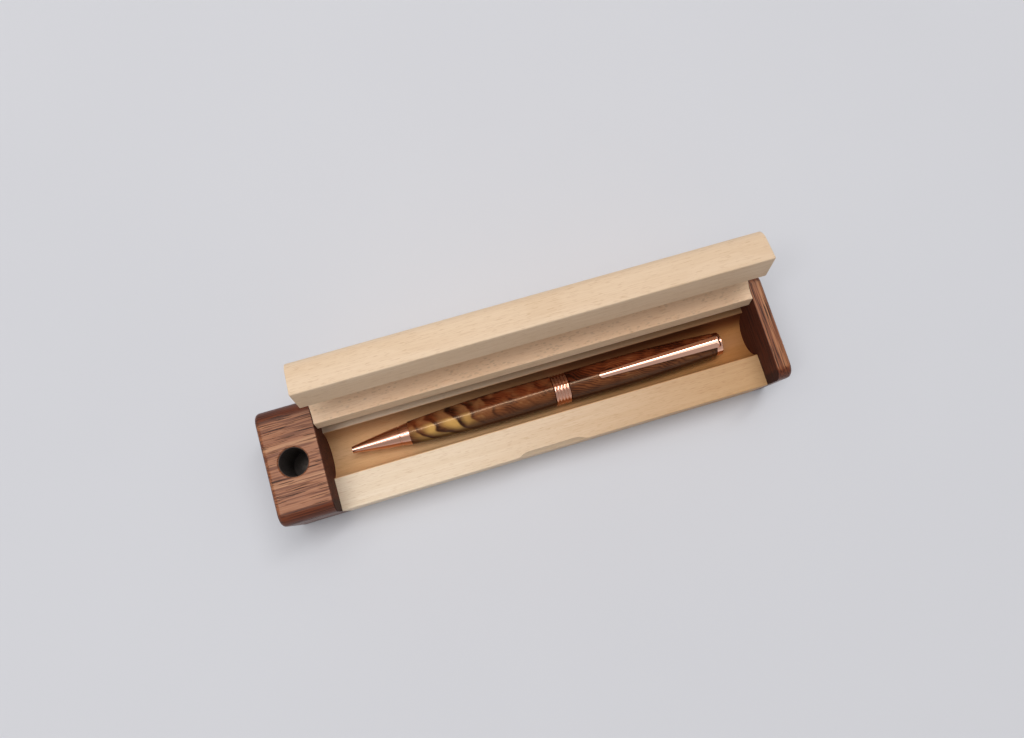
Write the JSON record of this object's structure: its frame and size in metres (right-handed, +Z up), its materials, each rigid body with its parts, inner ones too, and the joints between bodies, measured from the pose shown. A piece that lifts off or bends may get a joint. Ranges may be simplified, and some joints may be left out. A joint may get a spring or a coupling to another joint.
{
  "type": "wooden pen case",
  "caption": "Long wooden pen case with a half-round trough, a lid that turns on hidden pins between end blocks, a pen stand hole and a twist pen lying inside.",
  "frame": {"origin": "centre of the underside of the case, where it rests", "axes": "+X along the case from the thick block to the thin block, +Y towards the side where the lid turns, +Z up"},
  "size_m": [0.178, 0.0457, 0.0571],
  "materials": {
    "maple": "oiled satin maple",
    "maple_lid": "oiled satin maple",
    "dark_block": "polished dark reddish-brown hardwood, grain along the case",
    "dark_end": "polished dark reddish-brown hardwood, grain across the case",
    "pin_steel": "plain drawn steel",
    "rose_metal": "polished rose-gold plating",
    "figured_wood": "high-gloss figured brown wood",
    "tube_brass": "plain brass",
    "mechanism": "turned brass",
    "carrier_plastic": "black moulded plastic",
    "refill_steel": "drawn metal ink tube"
  },
  "bodies": {
    "case": {"base": "maple", "stand_block": "dark_block", "end_block": "dark_end", "left_hinge_pin": "pin_steel", "right_hinge_pin": "pin_steel"},
    "lid": {"lid": "maple_lid"},
    "pen_upper": {"upper_barrel": "figured_wood", "upper_tube": "tube_brass", "twist_cam": "mechanism", "centre_band": "rose_metal", "clip": "rose_metal", "end_cap": "rose_metal"},
    "pen_lower": {"lower_barrel": "figured_wood", "lower_tube": "tube_brass", "twist_housing": "mechanism", "nib_cone": "rose_metal"},
    "refill": {"refill_point": "tube_brass", "refill_tube": "refill_steel", "twist_carrier": "carrier_plastic"}
  },
  "joints": [
    {"name": "lid_hinge", "type": "hinge", "parent": "case", "child": "lid", "pos_m": [0.0065, 0.0143, 0.0231], "axis": [1, 0, 0], "range_deg": [0, 102.5]},
    {"name": "pen_lift", "type": "slide", "parent": "case", "child": "pen_upper", "axis": [0, 0, 1], "range_m": [0, 0.06]},
    {"name": "pen_twist", "type": "hinge", "parent": "pen_upper", "child": "pen_lower", "pos_m": [0.0097, 0, 0.01485], "axis": [-1, 0, 0], "range_deg": [0, 180]},
    {"name": "refill_advance", "type": "slide", "parent": "pen_lower", "child": "refill", "axis": [-1, 0, 0], "range_m": [0, 0.0055]}
  ],
  "couplings": [
    {"joint": "refill_advance", "follows": "pen_twist", "m_per_rad": 0.00175}
  ]
}
